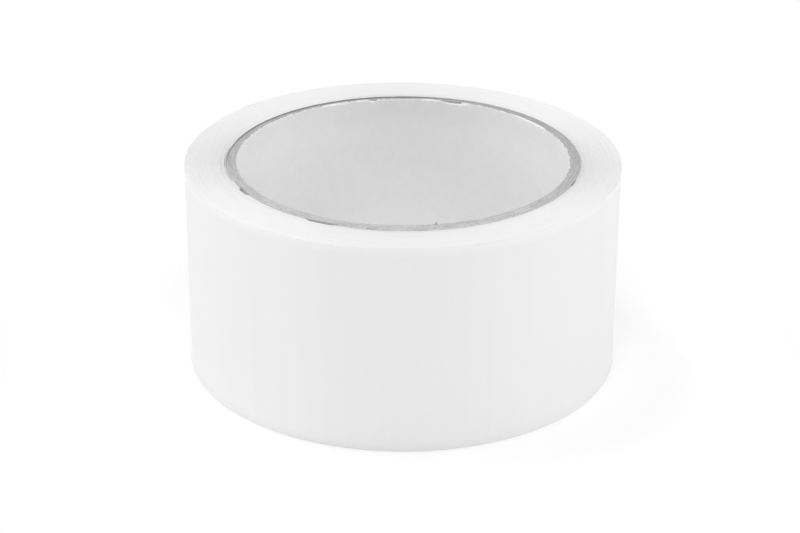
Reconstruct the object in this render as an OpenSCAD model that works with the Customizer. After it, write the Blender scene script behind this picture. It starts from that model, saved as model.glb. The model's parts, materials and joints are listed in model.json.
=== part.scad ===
// Roll of packing tape: a paper core wound from spiral plies, and a film tape wound round it.
// Lengths are in millimetres and angles in degrees. +Z runs along the roll's axis, and the
// origin is the centre of the core's lower end, on which the roll stands.

/* [Core] */
// Diameter of the core's bore
core_bore = 76.2; // [50:0.1:90]
// How far each end of the core stands proud of the tape
core_proud = 0.25; // [0.1:0.05:1]
// Thickness of the liner, the smooth innermost ply
liner_t = 0.3; // [0.2:0.05:0.6]
// Thickness of each body ply
ply_t = 0.5; // [0.3:0.05:0.9]
// Thickness of the wrap, the outermost ply
wrap_t = 0.3; // [0.2:0.05:0.6]
// Length of core in which the strip of a ply makes one turn
seam_pitch = 140; // [100:1:200]
// Gap between the meeting edges of a strip, measured round the core
seam_gap = 0.4; // [0.2:0.05:0.8]
// Angle at which the liner's seam meets the upper end of the core
seam_angle = 282; // [0:1:359]
// Angle from the seam of one ply to the seam of the next
seam_stagger = 75; // [20:1:100]

/* [Tape] */
// Gap between the core and the first turn, which shows as a dark line
core_gap = 0.1; // [0.05:0.01:0.3]
// Width of the tape
tape_w = 48.5; // [24:0.5:75]
// Thickness of the tape, film and adhesive together
tape_t = 0.04; // [0.03:0.005:0.09]
// Length of the tape on the roll
tape_length = 66000; // [30000:1000:120000]

/* [Free end] */
// Angle at which the cut edge of the tape lies
cut_angle = 140; // [0:1:359]
// Length of the free end, from its peel line to the cut edge
free_length = 32; // [15:1:60]
// Gap under the free end, where it lies loose on the roll
free_gap = 0.05; // [0.02:0.01:0.2]
// Gap in the tape at the peel line
peel_gap = 0.1; // [0.05:0.01:0.3]

/* [Hidden] */
$fn = 180;

// Colours of the liner, the grey board and the film
liner_colour = [0.87, 0.87, 0.87];
board_colour = [0.72, 0.72, 0.72];
film_colour = [0.95, 0.95, 0.95];

// Core: its length, and where its plies begin and end. The body plies are counted outwards.
body_plies = [1, 2, 3, 4];
core_len = tape_w + 2 * core_proud;
bore_r = core_bore / 2;
board_r = bore_r + liner_t;
wrap_r = board_r + len(body_plies) * ply_t;
core_r = wrap_r + wrap_t;

// Seams: the cutter's slices along the core, and its reach past the faces that it cuts
seam_slices = 30;
seam_reach = 0.5;

// Tape: the turns fill a ring as large as the tape's own edge, and the outermost turn is drawn
// apart. The winding is a spiral of half turns struck from two centres half a thickness apart,
// so each turn lands one thickness further out than the last.
half_turn = 180;
centre_shift = tape_t / 2;
tape_r = core_r + core_gap;
roll_r = sqrt(tape_r * tape_r + tape_length * tape_t / PI);
pack_r = roll_r - 2 * tape_t;
turn_count = (roll_r - tape_r) / tape_t;

// Free end: the radius of its underside, and the angle that it spans before the cut edge
free_r = pack_r + centre_shift + free_gap;
free_span = free_length / free_r * 180 / PI;
peel_span = peel_gap / free_r * 180 / PI;

// Peel line: the axis that the free end lifts about, just clear of the outer turn
peel_r = free_r + tape_t;
peel_line = turned([
    centre_shift + peel_r * cos(free_span + peel_span / 2),
    -peel_r * sin(free_span + peel_span / 2)
], cut_angle);

// Outer turn: the least distance between its two ends, which are all that could touch
outer_turn_end = 2 * half_turn - free_span - peel_span;
outer_turn_gap = norm(turn_point(0) - turn_point(outer_turn_end)) - tape_t;

echo(turn_count = turn_count, roll_diameter = 2 * roll_r);
echo(peel_line_x = peel_line.x, peel_line_y = peel_line.y);
echo(outer_turn_least_gap_to_itself = outer_turn_gap);

// A point turned about the roll's axis
function turned(p, angle) = [
    p.x * cos(angle) - p.y * sin(angle),
    p.x * sin(angle) + p.y * cos(angle)
];

// Middle of the outer turn's thickness, at an angle counted from its start
function turn_point(angle) =
    let (second = angle > half_turn)
    let (r = pack_r + tape_t / 2 + (second ? centre_shift : 0))
    [(second ? centre_shift : 0) + r * cos(angle), r * sin(angle)];

// A ring, or part of one, of rectangular section
module ring(r, thickness, height, angle = 360) {
    rotate_extrude(angle = angle)
        translate([r, 0]) square([thickness, height]);
}

// The helical slit where the edges of a ply's strip meet
module ply_seam(r, thickness, top_angle) {
    height = core_len + 2 * seam_reach;
    turn = 360 / seam_pitch;
    translate([0, 0, -seam_reach])
        rotate(top_angle - turn * (core_len + seam_reach))
            linear_extrude(
                height = height, twist = -turn * height, slices = seam_slices, segments = 4
            )
                translate([r - seam_reach, -seam_gap / 2])
                    square([thickness + 2 * seam_reach, seam_gap]);
}

// One ply of the core, counted from the liner as 0
module core_ply(count, r, thickness) {
    difference() {
        ring(r, thickness, core_len);
        ply_seam(r, thickness, seam_angle + count * seam_stagger);
    }
}

module core_liner() {
    color(liner_colour) core_ply(0, bore_r, liner_t);
}

module core_body_ply(count) {
    color(board_colour) core_ply(count, board_r + (count - 1) * ply_t, ply_t);
}

module core_wrap() {
    color(board_colour) core_ply(len(body_plies) + 1, wrap_r, wrap_t);
}

// Places a piece of the winding, drawn with its cut edge on the X axis, on the core
module wind() {
    translate([0, 0, core_proud]) rotate(cut_angle) children();
}

// Moves a half turn below the X axis onto the second centre
module second_half() {
    translate([centre_shift, 0, 0]) rotate(half_turn) children();
}

// All the turns but the last: their outside is a spiral with a step where the last turn leaves it
module tape_pack() {
    color(film_colour) wind() difference() {
        union() {
            ring(0, pack_r, tape_w, half_turn);
            second_half() ring(0, pack_r + centre_shift, tape_w, half_turn);
        }
        translate([0, 0, -core_proud]) cylinder(r = tape_r, h = core_len);
    }
}

// The last turn, from the step in the pack to the peel line
module tape_outer_turn() {
    color(film_colour) wind() {
        ring(pack_r, tape_t, tape_w, half_turn);
        second_half() ring(pack_r + centre_shift, tape_t, tape_w, outer_turn_end - half_turn);
    }
}

// The free end, from the peel line to the cut edge
module tape_free_end() {
    color(film_colour) wind()
        translate([centre_shift, 0, 0]) rotate(-free_span)
            ring(free_r, tape_t, tape_w, free_span);
}

core_liner();
for (count = body_plies)
    core_body_ply(count);
core_wrap();
tape_pack();
tape_outer_turn();
tape_free_end();
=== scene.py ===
"""Roll of packing tape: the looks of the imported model, with its wound film, paper core and studio.

The file is laid out as an add-on. Run as a script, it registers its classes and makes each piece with
its own operator.
"""

import json
import math
import random

import bmesh
import bpy
from bpy.props import FloatProperty, FloatVectorProperty, IntProperty, PointerProperty
from mathutils import Matrix, Vector, noise


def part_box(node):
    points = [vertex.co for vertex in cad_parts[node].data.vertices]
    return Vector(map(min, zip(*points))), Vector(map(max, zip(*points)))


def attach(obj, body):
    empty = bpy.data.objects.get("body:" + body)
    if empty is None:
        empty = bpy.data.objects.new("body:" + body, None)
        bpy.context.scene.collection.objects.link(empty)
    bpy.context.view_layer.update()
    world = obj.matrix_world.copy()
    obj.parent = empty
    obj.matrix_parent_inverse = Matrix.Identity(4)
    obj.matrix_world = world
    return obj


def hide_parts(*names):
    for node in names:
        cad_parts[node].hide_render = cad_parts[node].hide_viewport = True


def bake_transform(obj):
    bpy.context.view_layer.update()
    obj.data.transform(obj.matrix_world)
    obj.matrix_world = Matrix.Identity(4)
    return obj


bl_info = {
    "name": "Roll of Packing Tape",
    "version": (1, 0, 0),
    "blender": (4, 5, 0),
    "location": "View3D > Sidebar > Tape Roll",
    "description": "Makes a roll of film tape on a paper core, and the studio it stands in",
    "category": "Object",
}

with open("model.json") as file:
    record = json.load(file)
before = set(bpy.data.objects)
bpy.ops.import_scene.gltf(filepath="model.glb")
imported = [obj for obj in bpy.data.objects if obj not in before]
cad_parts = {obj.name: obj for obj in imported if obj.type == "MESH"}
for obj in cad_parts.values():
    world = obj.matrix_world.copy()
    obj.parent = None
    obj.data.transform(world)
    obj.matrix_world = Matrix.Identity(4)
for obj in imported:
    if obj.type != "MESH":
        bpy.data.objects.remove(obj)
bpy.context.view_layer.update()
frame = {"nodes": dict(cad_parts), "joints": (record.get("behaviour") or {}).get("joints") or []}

PLIES = ["core_ply_1", "core_ply_2", "core_ply_3", "core_ply_4"]
ORIGIN = Vector((0, 0, 0))
UP = Vector((0, 0, 1))

# Meshes: the distance at which points are one, the sectors that a turn is copied from, the steps of
# the free end, the angle from which an edge is hard, and the least tilt of the film's edges
MERGE = 1e-6
SECTORS = 16
FREE_STEPS = 96
HARD_EDGE = math.radians(35)
EDGE_TILT = 0.1

# Slits between turns: the least share of their depth, and how much deeper the first turns have them
SLIT_LEAST = 0.5
LOOSE_SLIT = 1.5
# Turns whose edges lie open: distance from the axis, half width, middle and half width in degrees,
# depth
OPEN = [(0.04955, 0.0001, 284, 34, 0.0003)]
# Specks of dust on the film: distance from the axis, angle in degrees, height, radius
SPECKS = [
    (0.05005, 261.1, 0.0198, 0.00015),
    (0.05005, 261.2, 0.0188, 0.00013),
    (0.0455, 48.1, 0.04875, 0.0003),
]

# Stretches of the rim, as middle and half width in degrees: where the liner is torn, where its
# torn edge shows pale, where the wrap's edge is bare paper, where the plies have sunk, and where
# a corner of the liner stands up
TORN = [(72, 115)]
PALE = [(115.6, 6), (104, 4), (79.8, 4), (70.2, 5), (37.5, 8.5)]
BARE = [(220, 24), (120, 60)]
SUNK = [(132, 75)]
BURR = [(280.95, 0.45)]
# Value of near() from which a face belongs to a stretch
WITHIN = 0.2
# Chips in the rim by ply: middle and half width in degrees, depth
CHIPS = {
    0: [(72.2, 4.2, 0.0005), (102, 2.2, 0.00035)],
    4: [(210.3, 3.6, 0.0006), (244.5, 6, 0.0006), (261.4, 1.4, 0.0006)],
    5: [(210.3, 3.4, 0.0005), (244.5, 5, 0.0003), (341, 3, 0.0004)],
}

# Rim of a ply: its depth in chamfers, the waves per metre of its two noises with their shifts from
# ply to ply, and the roughness that reaches the ply's end
RIM_REACH = 1.5
RIM_NOISE = [(1400, 7.3), (350, 3.1)]
RIM_PEAK = 0.7
# Tears in the liner's edge: waves per metre of their noise, its gain and its bias
TEAR_WAVES = 1500
TEAR_GAIN = 2
TEAR_BIAS = 0.1
# Shreds of paper on the torn edge: waves per metre of their noise, and its least value
SHRED_WAVES = 900
SHRED_LEAST = 0.2
# Faces of a ply: the papers that they show, and the least tilt of a torn edge and of a cut end,
# where a face that looks straight up has a tilt of 1
CUT_END, INSIDE, OUTSIDE, TORN_EDGE = range(4)
TORN_TILT = 0.3
END_TILT = 0.85

# Ranges: from 0 to 1, and what most values of a Noise Texture lie in
UNIT = (0.0, 1.0)
NOISE_SPAN = (0.3, 0.7)
# Paper: the share of soft patches in its tone, and the range of that tone
PATCH_SHARE = 0.6
PAPER_SPAN = (0.3, 0.8)
# Places along Y, front and back, between which change: the painted shade on the film's edges beside
# the core, the liner's darker upper band, and the painted shade that darkens the board toward the
# back
FILM_SHADE_SPAN = (-0.01, 0.03)
LINER_BAND_SPAN = (0.004, 0.02)
BOARD_SHADE_SPAN = (-0.03, 0.032)
# Depths below the core's end between which the liner's darker upper band comes up
BAND_DEPTHS = (0.009, 0.002)

# Softboxes: place and size
SOFTBOXES = {
    "left": ((-1.45, 0.2, 0.6), (1.1, 1.0)),
    "right": ((1.45, 0.15, 0.6), (1.1, 1.0)),
    "front": ((0, -1.5, 1.9), (1.5, 1.5)),
    "back_left": ((-0.6, 0.38, 1.85), (0.4, 0.4)),
    "back_right": ((0.75, 0.75, 1.75), (0.8, 0.8)),
}
# Radius and sides of the floor, the camera's sensor in millimetres and the nearest that it sees
FLOOR_R = 4.0
FLOOR_SIDES = 96
SENSOR_WIDTH = 36.0
NEAREST = 0.01


def radii(node):
    """Least and greatest distance of a CAD node's points from the roll's axis."""
    reach = [v.co.xy.length for v in frame["nodes"][node].data.vertices]
    return min(reach), max(reach)


def heights(node):
    """Lowest and highest point of a CAD node."""
    low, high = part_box(node)
    return low.z, high.z


def bearing(point):
    """Angle of a point round the roll's axis."""
    return math.atan2(point[1], point[0])


def joint(name):
    """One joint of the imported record."""
    return next(j for j in frame["joints"] if j["name"] == name)


PEEL_LINE = Vector(joint("free_end_peel")["pos_m"])
PEEL_ANGLE = bearing(PEEL_LINE)
CUT_ANGLE = max(bearing(v.co) for v in frame["nodes"]["tape_free_end"].data.vertices)
TAPE_R, SPIRAL_R = radii("tape_pack")
TAPE_LOW, TAPE_HIGH = heights("tape_pack")
TAPE_MIDDLE = (TAPE_LOW + TAPE_HIGH) / 2
CORE_R = radii("core_wrap")[1]
CORE_HIGH = heights("core_liner")[1]


class FilmSettings(bpy.types.PropertyGroup):
    """Sizes and colours of the wound film."""

    thickness: FloatProperty(
        name="Thickness",
        description="Thickness of the film with its adhesive",
        default=0.00004,
        precision=6,
        unit="LENGTH",
    )
    steps: IntProperty(
        name="Steps in a turn",
        description="Number of steps that draw one turn of the winding",
        default=160,
        min=64,
    )
    rings: IntProperty(
        name="Rings",
        description="Number of ridges and grooves that the edges of the turns are drawn with",
        default=201,
        min=4,
    )
    relief: FloatProperty(
        name="Relief",
        description="Unevenness of the edges of the turns",
        default=0.000045,
        precision=6,
        unit="LENGTH",
    )
    loose_relief: FloatProperty(
        name="Relief near the core",
        description="Further unevenness of the edges of the first turns",
        default=0.00002,
        precision=6,
        unit="LENGTH",
    )
    slit_every: IntProperty(
        name="Slit spacing",
        description="Number of rings from one open edge to the next",
        default=11,
        min=2,
    )
    loose_every: IntProperty(
        name="Slit spacing near the core",
        description="Number of rings from one open edge to the next in the first turns",
        default=8,
        min=2,
    )
    slit_depth: FloatProperty(
        name="Slit depth",
        description="Depth of the slits between open turns",
        default=0.00009,
        precision=5,
        unit="LENGTH",
    )
    loose_width: FloatProperty(
        name="Loose width",
        description="Width of the band of first turns that is wound more loosely",
        default=0.0024,
        precision=5,
        unit="LENGTH",
    )
    droop: FloatProperty(
        name="Droop",
        description="How far the outermost turns lie below the others",
        default=0.00006,
        precision=6,
        unit="LENGTH",
    )
    droop_width: FloatProperty(
        name="Droop width",
        description="Width of the band of outermost turns that droops",
        default=0.0004,
        precision=6,
        unit="LENGTH",
    )
    free_gap: FloatProperty(
        name="Free gap",
        description="Gap under the free end",
        default=0.00005,
        precision=6,
        unit="LENGTH",
    )
    bend: FloatProperty(
        name="Bend",
        description="Length of film that bends when the free end is peeled",
        default=0.006,
        unit="LENGTH",
    )
    tip_lift: FloatProperty(
        name="Tip lift",
        description="How far the cut edge curls away from the roll",
        default=0.0003,
        precision=5,
        unit="LENGTH",
    )
    tip_length: FloatProperty(
        name="Tip length",
        description="Length of the curl at the cut edge",
        default=0.01,
        unit="LENGTH",
    )
    # Painted light and shade: the pale strip at the top of the face and the darker strip at its foot
    strip_width: FloatProperty(
        name="Strip width",
        description="Width of the face's edge strips, pale at the top and soiled at the foot",
        default=0.0025,
        precision=5,
        unit="LENGTH",
    )
    # Painted shade: the band of turns beside the core that is drawn darker
    soil_width: FloatProperty(
        name="Soil width",
        description="Width of the soiled band of turns beside the core",
        default=0.001,
        precision=5,
        unit="LENGTH",
    )
    face_colour: FloatVectorProperty(
        name="Face",
        description="Colour of the film's face",
        default=(0.84, 0.84, 0.84),
        subtype="COLOR",
        min=0,
        max=1,
    )
    edge_colour: FloatVectorProperty(
        name="Edges",
        description="Colour of the wound edges of the film",
        default=(0.822, 0.822, 0.822),
        subtype="COLOR",
        min=0,
        max=1,
    )


class CoreSettings(bpy.types.PropertyGroup):
    """Sizes and colours of the paper core."""

    steps: IntProperty(
        name="Steps in a turn",
        description="Number of steps that draw one turn of a ply",
        default=480,
        min=64,
    )
    liner_steps: IntProperty(
        name="Steps in the liner",
        description="Number of steps that draw one turn of the liner, whose edge is ragged",
        default=960,
        min=64,
    )
    rows: IntProperty(
        name="Rows",
        description="Number of rows that draw the height of a ply",
        default=32,
        min=2,
    )
    seam_pitch: FloatProperty(
        name="Seam pitch",
        description="Length of core in which a strip makes one turn",
        default=0.14,
        unit="LENGTH",
    )
    seam_gap: FloatProperty(
        name="Seam gap",
        description="Gap between the meeting edges of a strip",
        default=0.0004,
        precision=5,
        unit="LENGTH",
    )
    ply_gap: FloatProperty(
        name="Ply seam gap",
        description="Gap between the meeting edges of a ply that is pressed shut between others",
        default=0.0001,
        precision=5,
        unit="LENGTH",
    )
    seam_angle: FloatProperty(
        name="Seam angle",
        description="Angle at which the liner's seam meets the upper end",
        default=math.radians(282),
        unit="ROTATION",
    )
    seam_stagger: FloatProperty(
        name="Seam stagger",
        description="Angle from the seam of one ply to the seam of the next",
        default=math.radians(75),
        unit="ROTATION",
    )
    ply_drop: FloatProperty(
        name="Ply drop",
        description="How much lower each ply ends than the one inside it",
        default=0.00006,
        precision=5,
        unit="LENGTH",
    )
    sinking: FloatProperty(
        name="Sinking",
        description="How many times further the plies drop where they have sunk",
        default=1.35,
    )
    settling: FloatProperty(
        name="Settling",
        description="How much lower the whole core ends where its plies have sunk",
        default=0.00013,
        precision=5,
        unit="LENGTH",
    )
    flare: FloatProperty(
        name="Flare",
        description="How far the wrap's edge leans over the gap where the plies have not sunk",
        default=0.00008,
        precision=6,
        unit="LENGTH",
    )
    burr: FloatProperty(
        name="Burr",
        description="Height of the torn corner that stands up at the liner's seam",
        default=0.0006,
        precision=5,
        unit="LENGTH",
    )
    tear_depth: FloatProperty(
        name="Tears",
        description="Depth of the deepest tears in the liner's edge",
        default=0.0003,
        precision=5,
        unit="LENGTH",
    )
    fray: FloatProperty(
        name="Fray",
        description="How far the inside of the liner's edge is worn down where it shows pale",
        default=0.00018,
        precision=5,
        unit="LENGTH",
    )
    chamfer: FloatProperty(
        name="Chamfer",
        description="Width of the crushed corner along each ply's cut edge",
        default=0.00006,
        precision=6,
        unit="LENGTH",
    )
    rim_relief: FloatProperty(
        name="Rim relief",
        description="Roughness of the cut edges of the plies",
        default=0.00008,
        precision=6,
        unit="LENGTH",
    )
    liner_colour: FloatVectorProperty(
        name="Liner",
        description="Colour of the smooth paper inside the core",
        default=(0.84, 0.84, 0.84),
        subtype="COLOR",
        min=0,
        max=1,
    )
    torn_colour: FloatVectorProperty(
        name="Torn paper",
        description="Colour of the clean fibres in the liner's torn edge",
        default=(0.9, 0.9, 0.9),
        subtype="COLOR",
        min=0,
        max=1,
    )
    board_colour: FloatVectorProperty(
        name="Board",
        description="Colour of the grey board plies",
        default=(0.56, 0.56, 0.56),
        subtype="COLOR",
        min=0,
        max=1,
    )
    # Painted shade: the dark grey drawn on the wrap's inside, for the shadow in the gap under it
    glue_colour: FloatVectorProperty(
        name="Glue",
        description="Colour of the glue line under the wrap",
        default=(0.33, 0.33, 0.33),
        subtype="COLOR",
        min=0,
        max=1,
    )


class StudioSettings(bpy.types.PropertyGroup):
    """Camera, light and floor."""

    lens: FloatProperty(
        name="Lens",
        description="Focal length of the camera",
        default=101.16,
        unit="CAMERA",
    )
    distance: FloatProperty(
        name="Distance",
        description="Distance from the camera to the point it looks at",
        default=0.5273,
        unit="LENGTH",
    )
    elevation: FloatProperty(
        name="Elevation",
        description="Angle of the camera above the horizon",
        default=math.radians(25.09),
        unit="ROTATION",
    )
    roll: FloatProperty(
        name="Roll",
        description="Turn of the camera about its own line of sight",
        default=math.radians(0.305),
        unit="ROTATION",
    )
    target: FloatVectorProperty(
        name="Target",
        description="Point that the camera looks at",
        default=(-0.000556, 0.0, 0.02137),
        subtype="XYZ",
        unit="LENGTH",
    )
    ambient: FloatProperty(
        name="Ambient",
        description="Strength of the even light from all sides",
        default=0.322,
    )
    left_power: FloatProperty(
        name="Left light",
        description="Power of the softbox at the left",
        default=9.0,
        unit="POWER",
    )
    right_power: FloatProperty(
        name="Right light",
        description="Power of the softbox at the right",
        default=9.5,
        unit="POWER",
    )
    front_power: FloatProperty(
        name="Front light",
        description="Power of the softbox above the camera",
        default=27.5,
        unit="POWER",
    )
    back_left_power: FloatProperty(
        name="Back left light",
        description="Power of the softbox at the back left",
        default=6.4,
        unit="POWER",
    )
    back_right_power: FloatProperty(
        name="Back right light",
        description="Power of the softbox at the back right",
        default=1.5,
        unit="POWER",
    )
    floor_colour: FloatVectorProperty(
        name="Floor",
        description="Colour of the floor",
        default=(0.9, 0.9, 0.9),
        subtype="COLOR",
        min=0,
        max=1,
    )
    floor_glow: FloatProperty(
        name="Floor glow",
        description="White that the camera sees on the floor besides the light falling on it",
        default=0.586,
    )
    floor_shade: FloatProperty(
        name="Floor shade",
        description="Share of the falling light that the camera sees on the floor",
        default=0.4,
    )


class NodeBench:
    """Adds nodes to one tree and links them."""

    def __init__(self, tree):
        self.tree = tree
        tree.nodes.clear()

    def add(self, kind, inputs=(), **settings):
        """A node with its settings, and with each named input linked or set."""
        node = self.tree.nodes.new(kind)
        for name, value in settings.items():
            setattr(node, name, value)
        for name, value in dict(inputs).items():
            self.feed(node.inputs[name], value)
        return node

    def feed(self, socket, value):
        """Links a socket to another, or sets its value."""
        if isinstance(value, bpy.types.NodeSocket):
            self.tree.links.new(value, socket)
        else:
            socket.default_value = value

    def feed_all(self, sockets, values):
        """Links or sets sockets in their order."""
        for socket, value in zip(sockets, values):
            self.feed(socket, value)

    def math(self, operation, *values):
        """Output of a Math node."""
        node = self.add("ShaderNodeMath", operation=operation)
        self.feed_all(node.inputs, values)
        return node.outputs[0]

    def product(self, first, *others):
        """Product of some values."""
        for other in others:
            first = self.math("MULTIPLY", first, other)
        return first

    def vector(self, operation, *values):
        """Outputs of a Vector Math node."""
        node = self.add("ShaderNodeVectorMath", operation=operation)
        self.feed_all(node.inputs, values)
        return node.outputs

    def place(self):
        """Object coordinates."""
        return self.add("ShaderNodeTexCoord").outputs["Object"]

    def axes(self, vector):
        """The three coordinates of a vector."""
        return self.add("ShaderNodeSeparateXYZ", {"Vector": vector}).outputs

    def stretched(self, vector, scale):
        """Coordinates multiplied along each axis."""
        return self.vector("MULTIPLY", vector, scale)["Vector"]

    def noise(self, vector, scale, detail=2.0, roughness=0.5):
        """Value of a Noise Texture, around 0.5."""
        node = self.add(
            "ShaderNodeTexNoise",
            {"Vector": vector, "Scale": scale, "Detail": detail, "Roughness": roughness},
        )
        return node.outputs["Fac"]

    def ramp(self, value, span, to=UNIT, smooth=False):
        """A value mapped from one range to another, held at its ends."""
        kind = "SMOOTHSTEP" if smooth else "LINEAR"
        node = self.add("ShaderNodeMapRange", interpolation_type=kind, clamp=True)
        self.feed_all(node.inputs, (value, *span, *to))
        return node.outputs[0]

    def mix(self, factor, first, second):
        """Mix of two colours."""
        node = self.add("ShaderNodeMix", data_type="RGBA")
        self.feed_all([s for s in node.inputs if s.enabled], (factor, first, second))
        return next(s for s in node.outputs if s.enabled)

    def tone(self, colour, factor):
        """A colour made lighter or darker by a factor."""
        node = self.add("ShaderNodeVectorMath", {"Scale": factor}, operation="SCALE")
        self.feed(node.inputs[0], colour)
        return node.outputs[0]

    def group(self, build, inputs):
        """Outputs of a node group, which is built the first time that it is asked for."""
        name = words(build.__name__)
        tree = bpy.data.node_groups.get(name) or build(name)
        return self.add("ShaderNodeGroup", inputs, node_tree=tree).outputs

    def bump(self, height, strength, distance):
        """Normal of a Bump node."""
        node = self.add(
            "ShaderNodeBump", {"Height": height, "Strength": strength, "Distance": distance}
        )
        return node.outputs["Normal"]


def words(name):
    """A name from this script in plain words."""
    return name.replace("_", " ").capitalize()


def opaque(colour):
    """A colour with full alpha."""
    return (*colour, 1.0)


def new_group(name, numbers, results):
    """An empty node group: its bench, its inputs (a place and some numbers) and its results."""
    tree = bpy.data.node_groups.new(name, "ShaderNodeTree")
    bench = NodeBench(tree)
    tree.interface.new_socket("Place", in_out="INPUT", socket_type="NodeSocketVector")
    for socket in numbers:
        tree.interface.new_socket(socket, in_out="INPUT", socket_type="NodeSocketFloat")
    for socket in results:
        tree.interface.new_socket(socket, in_out="OUTPUT", socket_type="NodeSocketFloat")
    return bench, bench.add("NodeGroupInput").outputs, bench.add("NodeGroupOutput").inputs


def lines_round_the_roll(name):
    """Fine lines round the roll's axis, which drift a little along their way."""
    bench, given, out = new_group(name, ["Fineness", "Drift"], ["Lines"])
    x, y, _ = bench.axes(given["Place"])
    radius = bench.math("SQRT", bench.math("ADD", bench.product(x, x), bench.product(y, y)))
    along = bench.add(
        "ShaderNodeCombineXYZ",
        {
            "X": bench.product(radius, given["Fineness"]),
            "Y": bench.product(x, given["Drift"]),
            "Z": bench.product(y, given["Drift"]),
        },
    )
    lines = bench.noise(along.outputs[0], scale=1.0, detail=3.0, roughness=0.6)
    bench.feed(out["Lines"], lines)
    return bench.tree


def paper_mottle(name):
    """The cloudy look of paper: soft patches, and fibres that lie across one another."""
    bench, given, out = new_group(name, ["Patches", "Fibres"], ["Tone", "Height"])
    place = given["Place"]
    patches = bench.noise(place, given["Patches"], detail=4.0, roughness=0.6)
    lying = bench.noise(bench.stretched(place, (1, 1, 4)), given["Fibres"], detail=3.0)
    standing = bench.noise(bench.stretched(place, (3, 3, 0.6)), given["Fibres"], detail=3.0)
    fibres = bench.product(lying, standing)
    tone = bench.math("ADD", bench.product(patches, PATCH_SHARE), fibres)
    bench.feed(out["Tone"], bench.ramp(tone, PAPER_SPAN))
    bench.feed(out["Height"], fibres)
    return bench.tree


def dust_specks(name):
    """A few specks of dust: the film's colour is multiplied by the tone."""
    bench, given, out = new_group(name, [], ["Tone"])
    tone = 1.0
    for radius, angle, height, size in SPECKS:
        centre = Matrix.Rotation(math.radians(angle), 3, "Z") @ Vector((radius, 0, height))
        away = bench.vector("DISTANCE", given["Place"], centre)["Value"]
        tone = bench.product(tone, bench.ramp(away, (size / 2, size), to=(0.8, 1.0)))
    bench.feed(out["Tone"], tone)
    return bench.tree


def new_material(build):
    """A material with a Principled shader: the material, its bench and the shader's sockets."""
    made = bpy.data.materials.new(words(build.__name__))
    made.use_nodes = True
    bench = NodeBench(made.node_tree)
    shader = bench.add("ShaderNodeBsdfPrincipled")
    bench.add("ShaderNodeOutputMaterial", {"Surface": shader.outputs[0]})
    return made, bench, shader.inputs


def film_face(film):
    """The smooth face of the film: white, soft sheen, faint upright bands, painted light at the top,
    painted shade at the foot.
    """
    made, bench, shader = new_material(film_face)
    place = bench.place()
    upright = bench.stretched(place, (1, 1, 0.02))
    bands = bench.noise(upright, scale=420.0, detail=4.0, roughness=0.6)
    clouds = bench.noise(upright, scale=90.0)
    streaks = bench.math(
        "ADD",
        bench.ramp(bands, NOISE_SPAN, to=(0.992, 1.008)),
        bench.ramp(clouds, NOISE_SPAN, to=(-0.004, 0.004)),
    )
    specks = bench.group(dust_specks, {"Place": place})
    _, _, height = bench.axes(place)
    # Painted light: a paler strip along the top edge, for light coming through the film's edge;
    # painted shade: a darker strip along the foot, for the shadow where the roll stands
    upper = (TAPE_HIGH - film.strip_width, TAPE_HIGH)
    lower = (TAPE_LOW, TAPE_LOW + film.strip_width)
    top = bench.ramp(height, upper, to=(0.992, 1.04), smooth=True)
    foot = bench.ramp(height, lower, to=(0.968, 1.0), smooth=True)
    tone = bench.product(top, foot, streaks, specks["Tone"])
    bench.feed(shader["Base Color"], bench.tone(film.face_colour, tone))
    bench.feed(shader["Roughness"], bench.ramp(bands, NOISE_SPAN, to=(0.38, 0.46)))
    bench.feed(shader["Normal"], bench.bump(bands, strength=0.1, distance=0.00005))
    return made


def film_edges(film):
    """The wound edges of the film: a flat ring of fine lines, with painted shade beside the core at
    the front.
    """
    made, bench, shader = new_material(film_edges)
    place = bench.place()
    rings = bench.group(
        lines_round_the_roll, {"Place": place, "Fineness": 5000.0, "Drift": 25.0}
    )
    specks = bench.group(dust_specks, {"Place": place})
    away = bench.vector("LENGTH", bench.stretched(place, (1, 1, 0)))["Value"]
    _, depth, _ = bench.axes(place)
    # Painted shade: the turns beside the core are drawn darker, most at the front and not at the back
    worn = bench.ramp(depth, FILM_SHADE_SPAN, to=(0.95, 1.0))
    band = (TAPE_R, TAPE_R + film.soil_width)
    painted_shade = bench.ramp(away, band, to=(worn, 1.0), smooth=True)
    lines = bench.ramp(rings["Lines"], NOISE_SPAN, to=(0.985, 1.01))
    tone = bench.product(lines, painted_shade, specks["Tone"])
    bench.feed(shader["Base Color"], bench.tone(film.edge_colour, tone))
    normal = bench.bump(rings["Lines"], strength=0.3, distance=0.00002)
    bench.feed(shader["Normal"], normal)
    bench.feed(shader["Roughness"], 0.5)
    bench.feed(shader["Specular IOR Level"], 0.2)
    return made


def glue_line(core):
    """Painted gap shade: dark grey with fibres on the wrap's inside, standing for the shadow in the
    gap where the wrap has come away from the plies inside it.
    """
    made, bench, shader = new_material(glue_line)
    mottle = bench.group(
        paper_mottle, {"Place": bench.place(), "Patches": 500.0, "Fibres": 1500.0}
    )
    tone = bench.ramp(mottle["Tone"], UNIT, to=(0.8, 1.2))
    bench.feed(shader["Base Color"], bench.tone(core.glue_colour, tone))
    bench.feed(shader["Roughness"], 0.6)
    return made


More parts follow.
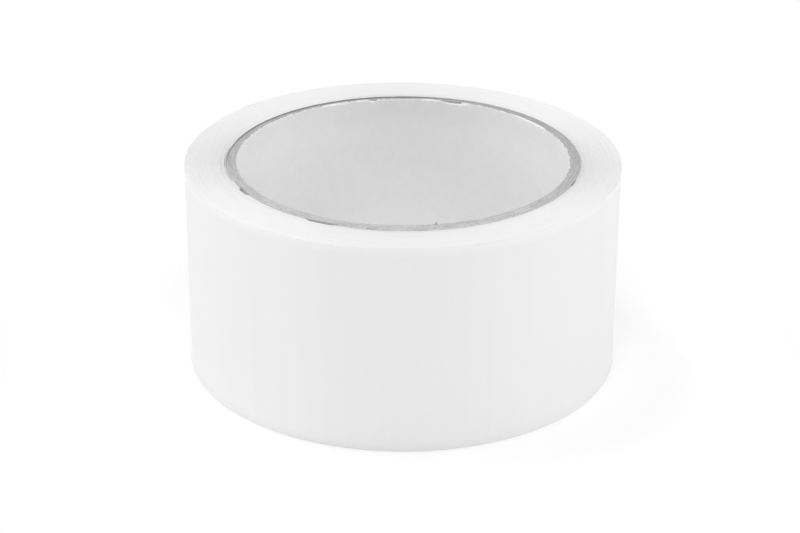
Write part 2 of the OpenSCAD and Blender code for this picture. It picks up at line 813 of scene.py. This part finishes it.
def liner_paper(core):
    """The liner's paper: pale grey, matt and cloudy, darker in a band along its upper edge at the
    back.
    """
    made, bench, shader = new_material(liner_paper)
    place = bench.place()
    mottle = bench.group(paper_mottle, {"Place": place, "Patches": 420.0, "Fibres": 1300.0})
    _, depth, height = bench.axes(place)
    edge = [CORE_HIGH - below for below in BAND_DEPTHS]
    # Darker in a band along the upper edge, at the back only
    upper_band = bench.product(
        bench.ramp(height, edge, smooth=True),
        bench.ramp(depth, LINER_BAND_SPAN, smooth=True),
    )
    tone = bench.product(
        bench.ramp(mottle["Tone"], UNIT, to=(0.97, 1.03)),
        bench.ramp(upper_band, UNIT, to=(1.0, 0.95)),
    )
    bench.feed(shader["Base Color"], bench.tone(core.liner_colour, tone))
    bench.feed(shader["Roughness"], 0.6)
    normal = bench.bump(mottle["Height"], strength=0.4, distance=0.00004)
    bench.feed(shader["Normal"], normal)
    return made


def torn_paper(core):
    """Clean white fibres, where the liner's edge is torn."""
    made, bench, shader = new_material(torn_paper)
    bench.feed(shader["Base Color"], opaque(core.torn_colour))
    bench.feed(shader["Roughness"], 0.9)
    return made


def core_board(core):
    """The board plies: grey, with fibres that run round the core in their cut edges, and painted
    shade that darkens them toward the back and the right.
    """
    made, bench, shader = new_material(core_board)
    place = bench.place()
    mottle = bench.group(paper_mottle, {"Place": place, "Patches": 2000.0, "Fibres": 3600.0})
    rings = bench.group(
        lines_round_the_roll, {"Place": place, "Fineness": 3600.0, "Drift": 260.0}
    )
    across, depth, _ = bench.axes(place)
    # Painted shade: the board darker toward the back and toward the right, where its rim lies in
    # shade
    painted_shade = bench.product(
        bench.ramp(depth, BOARD_SHADE_SPAN, to=(1.0, 0.72)),
        bench.ramp(across, (-CORE_R, CORE_R), to=(1.03, 0.95)),
    )
    fibres = bench.product(
        bench.ramp(rings["Lines"], NOISE_SPAN, to=(0.8, 1.18)),
        bench.ramp(mottle["Tone"], UNIT, to=(0.8, 1.18)),
    )
    tone = bench.product(painted_shade, fibres)
    bench.feed(shader["Base Color"], bench.tone(core.board_colour, tone))
    bench.feed(shader["Roughness"], 0.9)
    bench.feed(shader["Specular IOR Level"], 0.2)
    height = bench.math("ADD", rings["Lines"], mottle["Height"])
    bench.feed(shader["Normal"], bench.bump(height, strength=0.6, distance=0.00006))
    return made


def material(build, settings):
    """A material, built the first time that it is asked for."""
    return bpy.data.materials.get(words(build.__name__)) or build(settings)


def film_looks(film):
    """The film's materials: its face and its wound edges."""
    return [material(film_face, film), material(film_edges, film)]


def fade(value):
    """A smooth rise from 0 to 1."""
    value = min(max(value, 0.0), 1.0)
    return value * value * (3 - 2 * value)


def plateau(away, half):
    """1 up to the middle of a half width, from where it falls smoothly to 0."""
    return fade(2 - 2 * away / half)


def near(angle, places):
    """How far an angle is inside one of some places (middle, half width) in degrees: 0 to 1."""
    shares = []
    for middle, half in places:
        away = abs(math.remainder(angle - math.radians(middle), 2 * math.pi))
        shares.append(plateau(away, math.radians(half)))
    return max(shares)


def sweep(bm, geom, angle, steps, centre=ORIGIN, rise=0.0, copies=False):
    """Turns geometry about an upright axis, with faces along its way or as separate copies."""
    bmesh.ops.spin(
        bm,
        geom=geom,
        cent=centre,
        axis=UP,
        dvec=UP * (rise / steps),
        angle=angle,
        steps=steps,
        use_merge=False,
        use_normal_flip=False,
        use_duplicate=copies,
    )


def sweep_round(bm, outline, angle, steps, centre=ORIGIN):
    """Sweeps a copy of an outline: through one sector, which is then copied round to the angle."""
    before = set(bm.verts)
    made = bmesh.ops.duplicate(bm, geom=outline)["geom"]
    sweep(bm, made, angle / SECTORS, steps // SECTORS, centre)
    verts = [v for v in bm.verts if v not in before]
    sector = [*verts, *{e for v in verts for e in v.link_edges}]
    sector += {f for v in verts for f in v.link_faces}
    rest = SECTORS - 1
    sweep(bm, sector, angle * rest / SECTORS, rest, centre, copies=True)
    return [v for v in bm.verts if v not in before]


def turned_copy(bm, geom, angle, centre=ORIGIN):
    """A copy of some geometry, turned about an upright axis."""
    made = bmesh.ops.duplicate(bm, geom=geom)["geom"]
    verts = [g for g in made if isinstance(g, bmesh.types.BMVert)]
    bmesh.ops.rotate(bm, cent=centre, matrix=Matrix.Rotation(angle, 3, "Z"), verts=verts)
    return made


def turn(bm, angle):
    """Turns the whole mesh about the roll's axis."""
    bmesh.ops.rotate(bm, cent=ORIGIN, matrix=Matrix.Rotation(angle, 3, "Z"), verts=bm.verts)


def section(bm, inner, outer, low, high, filled=True):
    """A rectangle across the X axis, to be swept: a face, or four edges."""
    corners = ((inner, 0, low), (outer, 0, low), (outer, 0, high), (inner, 0, high))
    verts = [bm.verts.new(c) for c in corners]
    if filled:
        face = bm.faces.new(verts)
        return [face, *face.edges, *face.verts]
    return [bm.edges.new((verts[i - 1], verts[i])) for i in range(4)]


def film_section(bm, film, inner):
    """The film's own section, as narrow as the outermost turns are."""
    outer = inner + film.thickness
    return section(bm, inner, outer, TAPE_LOW + film.droop, TAPE_HIGH - film.droop)


def edge_loop(geom):
    """The outline of some faces: their points, and the edges that lie on one face only."""
    return [
        g
        for g in geom
        if isinstance(g, bmesh.types.BMVert)
        or (isinstance(g, bmesh.types.BMEdge) and len(g.link_faces) == 1)
    ]


def finish_mesh(bm, name, materials):
    """Closes a mesh, turns its faces outwards and makes an object of it."""
    bmesh.ops.remove_doubles(bm, verts=bm.verts, dist=MERGE)
    bmesh.ops.recalc_face_normals(bm, faces=bm.faces)
    for face in bm.faces:
        face.smooth = True
    for edge in bm.edges:
        edge.smooth = edge.calc_face_angle(0.0) < HARD_EDGE
    mesh = bpy.data.meshes.new(name)
    bm.to_mesh(mesh)
    bm.free()
    for made in materials:
        mesh.materials.append(made)
    piece = bpy.data.objects.new(name, mesh)
    bpy.context.scene.collection.objects.link(piece)
    return piece


def mark_ends(bm):
    """Gives the faces that look up or down the second material."""
    bmesh.ops.recalc_face_normals(bm, faces=bm.faces)
    for face in bm.faces:
        face.material_index = 1 if abs(face.normal.z) > EDGE_TILT else 0


def second_centre(film):
    """The centre that the second half of each turn is struck from."""
    return Matrix.Rotation(CUT_ANGLE, 3, "Z") @ Vector((film.thickness / 2, 0, 0))


class TAPEROLL_OT_wound_tape(bpy.types.Operator):
    """Make the inner turns of the tape, wound in a spiral"""

    bl_idname = "taperoll.wound_tape"
    bl_label = "Wound tape"

    def execute(self, context):
        film = context.scene.taperoll_film
        bm = bmesh.new()
        outer = SPIRAL_R - film.thickness
        first = section(bm, TAPE_R, outer, TAPE_LOW, TAPE_HIGH, filled=False)
        level = [e for e in first if abs(e.verts[0].co.z - e.verts[1].co.z) < MERGE]
        bmesh.ops.subdivide_edges(bm, edges=level, cuts=film.rings)
        self.ridge(bm, film, outer)
        turn(bm, CUT_ANGLE)
        outline = [*bm.verts, *bm.edges]
        half = film.steps // 2
        sweep_round(bm, outline, math.pi, half)
        middle = turned_copy(bm, outline, math.pi)
        centre = second_centre(film)
        made = sweep_round(bm, middle, math.pi, half, centre)
        ahead = UP.cross(centre).normalized()
        last = [v for v in made if abs(v.co @ ahead) < MERGE and v.co @ centre > 0]
        bmesh.ops.translate(bm, vec=-2 * centre, verts=last)
        bmesh.ops.remove_doubles(bm, verts=bm.verts, dist=MERGE)
        self.loosen(bm)
        mark_ends(bm)
        piece = finish_mesh(bm, "wound_tape", film_looks(film))
        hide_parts("tape_pack")
        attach(piece, "roll")
        return {"FINISHED"}

    def ridge(self, bm, film, outer):
        """Opens slits between some turns, mostly near the core, and lets the outermost droop."""
        pitch = (outer - TAPE_R) / (film.rings + 1)
        for vert in bm.verts:
            high = vert.co.z > TAPE_MIDDLE
            ring = round((vert.co.x - TAPE_R) / pitch)
            loose = vert.co.x < TAPE_R + film.loose_width
            every = film.loose_every if loose else film.slit_every
            chance = random.Random(2 * (ring // every) + high)
            near_core = fade(1 - (vert.co.x - TAPE_R) / film.loose_width)
            depth = (film.relief + film.loose_relief * near_core) * ((ring + 1) % 2)
            if 0 < ring <= film.rings and ring % every == chance.randrange(every):
                share = SLIT_LEAST + chance.random()
                depth += film.slit_depth * share * (LOOSE_SLIT if loose else 1)
            depth += fade(1 - (outer - vert.co.x) / film.droop_width) * film.droop
            vert.co.z += -depth if high else depth

    def loosen(self, bm):
        """Lowers the upper edges of the turns that lie open along part of their way."""
        for vert in bm.verts:
            if vert.co.z > TAPE_MIDDLE:
                for radius, width, middle, half, depth in OPEN:
                    share = plateau(abs(vert.co.xy.length - radius), width)
                    if share > 0:
                        vert.co.z -= depth * share * near(bearing(vert.co), [(middle, half)])


class TAPEROLL_OT_last_turn(bpy.types.Operator):
    """Make the last turn of the tape, from the step in the winding to the peel line"""

    bl_idname = "taperoll.last_turn"
    bl_label = "Last turn"

    def execute(self, context):
        film = context.scene.taperoll_film
        bm = bmesh.new()
        geom = film_section(bm, film, SPIRAL_R - film.thickness)
        turn(bm, CUT_ANGLE)
        half = film.steps // 2
        centre = second_centre(film)
        rest = math.pi - (CUT_ANGLE - PEEL_ANGLE)
        sweep_round(bm, edge_loop(geom), math.pi, half)
        middle = turned_copy(bm, geom, math.pi)
        sweep_round(bm, edge_loop(middle), rest, half, centre)
        turned_copy(bm, middle, rest, centre)
        inner_faces = [g for g in middle if isinstance(g, bmesh.types.BMFace)]
        bmesh.ops.delete(bm, geom=inner_faces, context="FACES_ONLY")
        mark_ends(bm)
        piece = finish_mesh(bm, "last_turn", film_looks(film))
        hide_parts("tape_outer_turn")
        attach(piece, "roll")
        return {"FINISHED"}


class TAPEROLL_OT_free_end(bpy.types.Operator):
    """Make the free end of the tape, which lies just off the roll and curls a little at its cut edge
    """

    bl_idname = "taperoll.free_end"
    bl_label = "Free end"

    def execute(self, context):
        film = context.scene.taperoll_film
        bm = bmesh.new()
        inner = SPIRAL_R - film.thickness / 2
        geom = film_section(bm, film, inner)
        centre = second_centre(film)
        turn(bm, PEEL_ANGLE)
        bmesh.ops.translate(bm, vec=centre, verts=bm.verts)
        span = CUT_ANGLE - PEEL_ANGLE
        sweep(bm, geom, span, FREE_STEPS, centre)
        for vert in bm.verts:
            arm = (vert.co - centre) * Vector((1, 1, 0))
            along = (bearing(arm) - PEEL_ANGLE) * inner
            curl = 1 - (span * inner - along) / film.tip_length
            lift = film.free_gap * fade(along / film.bend)
            lift += film.tip_lift * max(curl, 0.0) ** 2
            vert.co += arm.normalized() * lift
        mark_ends(bm)
        piece = finish_mesh(bm, "free_end_film", film_looks(film))
        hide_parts("tape_free_end")
        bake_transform(piece)
        return {"FINISHED"}


class Ply:
    """One ply of the core, counted outwards from the liner as 0, at its CAD node's size."""

    def __init__(self, node, number):
        self.number = number
        self.is_liner = number == 0
        self.is_wrap = number > len(PLIES)
        self.inner, self.outer = radii(node)
        self.low, self.high = heights(node)
        self.middle = (self.inner + self.outer) / 2


def wind_strip(core, ply):
    """The mesh of a ply: a strip wound in a helix, whose edges nearly meet along a seam."""
    height = ply.high - ply.low
    bm = bmesh.new()
    verts = [bm.verts.new((radius, 0, ply.low)) for radius in (ply.inner, ply.outer)]
    edge = bm.edges.new(verts)
    twist = 2 * math.pi * height / core.seam_pitch
    gap = (core.seam_gap if ply.is_liner else core.ply_gap) / ply.outer
    turn(bm, core.seam_angle + ply.number * core.seam_stagger - twist + gap / 2)
    sweep(bm, [*verts, edge], twist, core.rows, rise=height)
    strip_edge = [*bm.verts, *bm.edges, *bm.faces]
    steps = core.liner_steps if ply.is_liner else core.steps
    sweep_round(bm, edge_loop(strip_edge), 2 * math.pi - gap, steps)
    turned_copy(bm, strip_edge, -gap)
    bmesh.ops.remove_doubles(bm, verts=bm.verts, dist=MERGE)
    bmesh.ops.recalc_face_normals(bm, faces=bm.faces)
    return bm


def crush_corners(bm, core, ply):
    """Bevels the corners that run round both ends of a ply."""
    rims = []
    for edge in bm.edges:
        first, second = (v.co for v in edge.verts)
        level = abs(first.z - second.z) < MERGE
        at_end = min(abs(first.z - ply.low), abs(first.z - ply.high)) < MERGE
        if level and at_end and abs(first.xy.length - second.xy.length) < MERGE:
            rims.append(edge)
    bmesh.ops.bevel(
        bm,
        geom=rims,
        offset=core.chamfer,
        offset_type="OFFSET",
        segments=1,
        profile=0.5,
        affect="EDGES",
        material=-1,
    )


def rim_step(core, ply, spot, inside):
    """How far a point of a ply's rim lies below the core's end."""
    angle = bearing(spot)
    sunk = near(angle, SUNK)
    step = ply.number * core.ply_drop * (1 + core.sinking * sunk)
    if ply.is_wrap:
        step = CORE_HIGH - TAPE_HIGH
    step += core.settling * sunk
    places = CHIPS.get(ply.number, ())
    step += max((depth * near(angle, [(mid, half)]) for mid, half, depth in places), default=0.0)
    if ply.is_liner and inside:
        ragged = max(0.0, TEAR_GAIN * noise.noise(spot * TEAR_WAVES) + TEAR_BIAS)
        step += core.tear_depth * near(angle, TORN) * ragged
        step += core.fray * near(angle, PALE)
    moved = (spot * waves + UP * (shift * ply.number) for waves, shift in RIM_NOISE)
    rough = sum(noise.noise(place) for place in moved)
    return step - (rough - RIM_PEAK) * core.rim_relief / 2


def wear_rims(bm, core, ply):
    """Moves the points of a ply's ends to where wear has left them.

    They move along the helix of the strip, so that no face folds over its neighbour.
    """
    for vert in bm.verts:
        if min(vert.co.z - ply.low, ply.high - vert.co.z) < core.chamfer * RIM_REACH:
            upper = vert.co.z > (ply.low + ply.high) / 2
            angle = bearing(vert.co)
            inside = vert.co.xy.length < ply.middle
            step = rim_step(core, ply, vert.co, inside)
            if ply.is_wrap and not inside:
                vert.co.xy *= 1 + core.flare / ply.outer * (1 - near(angle, SUNK))
            rise = -step if upper else step
            vert.co.z += rise
            vert.co.rotate(Matrix.Rotation(2 * math.pi * rise / core.seam_pitch, 3, "Z"))
            if ply.is_liner and upper:
                vert.co.z += core.burr * near(angle, BURR)


def paper_shown(core, ply, face):
    """Which of a ply's papers a face shows."""
    spot = face.calc_center_median()
    angle = bearing(spot)
    tilt = face.normal.z
    if ply.is_liner and spot.z > ply.high - core.burr and near(angle, BURR) > WITHIN:
        return CUT_END
    if ply.is_liner and tilt > TORN_TILT and near(angle, PALE) > WITHIN:
        return TORN_EDGE
    if abs(tilt) < END_TILT:
        return INSIDE if spot.xy.length < ply.middle + MERGE else OUTSIDE
    if ply.is_liner and near(angle, TORN) > WITHIN:
        return INSIDE if noise.noise(spot * SHRED_WAVES) > SHRED_LEAST else CUT_END
    if ply.is_wrap and near(angle, BARE) > WITHIN:
        return OUTSIDE
    return CUT_END


def make_ply(core, node, number, name, papers):
    """One ply of the core.

    The papers are the materials of its cut ends, its inside, its outside and its torn edge.
    """
    ply = Ply(node, number)
    bm = wind_strip(core, ply)
    crush_corners(bm, core, ply)
    wear_rims(bm, core, ply)
    kinds = list(dict.fromkeys(papers))
    bmesh.ops.recalc_face_normals(bm, faces=bm.faces)
    for face in bm.faces:
        face.material_index = kinds.index(papers[paper_shown(core, ply, face)])
    piece = finish_mesh(bm, name, kinds)
    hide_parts(node)
    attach(piece, "roll")


class TAPEROLL_OT_liner(bpy.types.Operator):
    """Make the liner, the smooth paper inside the core"""

    bl_idname = "taperoll.liner"
    bl_label = "Core liner"

    def execute(self, context):
        core = context.scene.taperoll_core
        paper = material(liner_paper, core)
        board = material(core_board, core)
        papers = (board, paper, board, material(torn_paper, core))
        make_ply(core, "core_liner", 0, "liner", papers)
        return {"FINISHED"}


class TAPEROLL_OT_board(bpy.types.Operator):
    """Make the board plies of the core and the wrap round them"""

    bl_idname = "taperoll.board"
    bl_label = "Board plies and wrap"

    def execute(self, context):
        core = context.scene.taperoll_core
        board = material(core_board, core)
        for number, node in enumerate(PLIES, 1):
            make_ply(core, node, number, f"board_ply_{number}", (board,) * 3)
        # The wrap's inside shows the painted gap shade
        papers = (board, material(glue_line, core), material(liner_paper, core))
        make_ply(core, "core_wrap", len(PLIES) + 1, "wrap_ply", papers)
        return {"FINISHED"}


class TAPEROLL_OT_studio(bpy.types.Operator):
    """Make the floor, the light and the camera"""

    bl_idname = "taperoll.studio"
    bl_label = "Studio"

    def execute(self, context):
        studio = context.scene.taperoll_studio
        context.scene.view_settings.view_transform = "Standard"
        self.floor(studio)
        self.sky(context.scene, studio)
        for side in SOFTBOXES:
            self.softbox(context.scene, side, getattr(studio, f"{side}_power"))
        self.camera(context.scene, studio)
        return {"FINISHED"}

    def floor(self, studio):
        """A wide pale floor, which the camera sees as white where no shadow falls."""
        bm = bmesh.new()
        bmesh.ops.create_circle(bm, cap_ends=True, radius=FLOOR_R, segments=FLOOR_SIDES)
        floor = finish_mesh(bm, "floor", [self.floor_paint(studio)])

    def floor_paint(self, studio):
        """Matt white paint, with a glow that only the camera, gloss and glass see."""
        paint = bpy.data.materials.new("Floor")
        paint.use_nodes = True
        bench = NodeBench(paint.node_tree)
        seen = self.seen(bench)
        shade = (studio.floor_shade,) * 3
        colour = bench.mix(seen, opaque(studio.floor_colour), opaque(shade))
        matt = bench.add("ShaderNodeBsdfDiffuse", {"Color": colour})
        strength = bench.product(seen, studio.floor_glow)
        glow = bench.add("ShaderNodeEmission", {"Strength": strength})
        both = bench.add("ShaderNodeAddShader")
        bench.feed_all(both.inputs, (matt.outputs[0], glow.outputs[0]))
        bench.add("ShaderNodeOutputMaterial", {"Surface": both.outputs[0]})
        return paint

    def seen(self, bench):
        """1 for the rays that show a background: from the camera, gloss or glass."""
        path = bench.add("ShaderNodeLightPath")
        rays = ("Is Camera Ray", "Is Glossy Ray", "Is Transmission Ray")
        camera, gloss, glass = (path.outputs[name] for name in rays)
        return bench.math("MAXIMUM", bench.math("MAXIMUM", camera, gloss), glass)

    def sky(self, scene, studio):
        """White all round, which lights the roll less than it shows."""
        scene.world = scene.world or bpy.data.worlds.new("World")
        scene.world.use_nodes = True
        bench = NodeBench(scene.world.node_tree)
        strength = bench.ramp(self.seen(bench), UNIT, to=(studio.ambient, 1.0))
        white = bench.add("ShaderNodeBackground", {"Color": (1, 1, 1, 1), "Strength": strength})
        bench.add("ShaderNodeOutputWorld", {"Surface": white.outputs[0]})

    def softbox(self, scene, side, power):
        """An area light that faces the roll. The one at the front doesn't show as a gleam."""
        name = f"{words(side)} light"
        place, size = SOFTBOXES[side]
        light = bpy.data.lights.new(name, "AREA")
        light.shape = "RECTANGLE"
        light.size, light.size_y = size
        light.energy = power
        lamp = bpy.data.objects.new(name, light)
        lamp.location = place
        aim = Vector((0, 0, CORE_HIGH / 2)) - lamp.location
        lamp.rotation_euler = aim.to_track_quat("-Z", "Y").to_euler()
        lamp.visible_camera = False
        lamp.visible_glossy = side != "front"
        scene.collection.objects.link(lamp)

    def camera(self, scene, studio):
        """The camera at the photograph's viewing angle."""
        lens = bpy.data.cameras.new("Camera")
        lens.sensor_width = SENSOR_WIDTH
        lens.lens = studio.lens
        lens.clip_start = NEAREST
        camera = bpy.data.objects.new("Camera", lens)
        rise = studio.elevation
        back = Vector((0, -math.cos(rise), math.sin(rise)))
        place = Matrix.Translation(Vector(studio.target) + back * studio.distance)
        tilt = Matrix.Rotation(math.pi / 2 - rise, 4, "X")
        camera.matrix_world = place @ tilt @ Matrix.Rotation(studio.roll, 4, "Z")
        scene.collection.objects.link(camera)
        scene.camera = camera


class TAPEROLL_PT_panel(bpy.types.Panel):
    """The roll's pieces and settings"""

    bl_idname = "TAPEROLL_PT_panel"
    bl_label = "Tape Roll"
    bl_space_type = "VIEW_3D"
    bl_region_type = "UI"
    bl_category = "Tape Roll"

    def draw(self, context):
        for title, group in SETTINGS.items():
            box = self.layout.box()
            box.label(text=title.title())
            settings = getattr(context.scene, f"taperoll_{title}")
            for name in group.__annotations__:
                box.prop(settings, name)
        for operator in OPERATORS:
            self.layout.operator(operator.bl_idname)


SETTINGS = {"film": FilmSettings, "core": CoreSettings, "studio": StudioSettings}
OPERATORS = [
    TAPEROLL_OT_wound_tape,
    TAPEROLL_OT_last_turn,
    TAPEROLL_OT_free_end,
    TAPEROLL_OT_liner,
    TAPEROLL_OT_board,
    TAPEROLL_OT_studio,
]


def register():
    """Registers the classes and their settings."""
    for kind in (*SETTINGS.values(), *OPERATORS, TAPEROLL_PT_panel):
        bpy.utils.register_class(kind)
    for title, group in SETTINGS.items():
        setattr(bpy.types.Scene, f"taperoll_{title}", PointerProperty(type=group))


def unregister():
    """Takes back what register added."""
    for title in SETTINGS:
        delattr(bpy.types.Scene, f"taperoll_{title}")
    for kind in reversed((*SETTINGS.values(), *OPERATORS, TAPEROLL_PT_panel)):
        bpy.utils.unregister_class(kind)


def main():
    """Makes the whole roll."""
    register()
    bpy.ops.taperoll.wound_tape()
    bpy.ops.taperoll.last_turn()
    bpy.ops.taperoll.free_end()
    bpy.ops.taperoll.liner()
    bpy.ops.taperoll.board()
    bpy.ops.taperoll.studio()


if __name__ == "__main__":
    main()
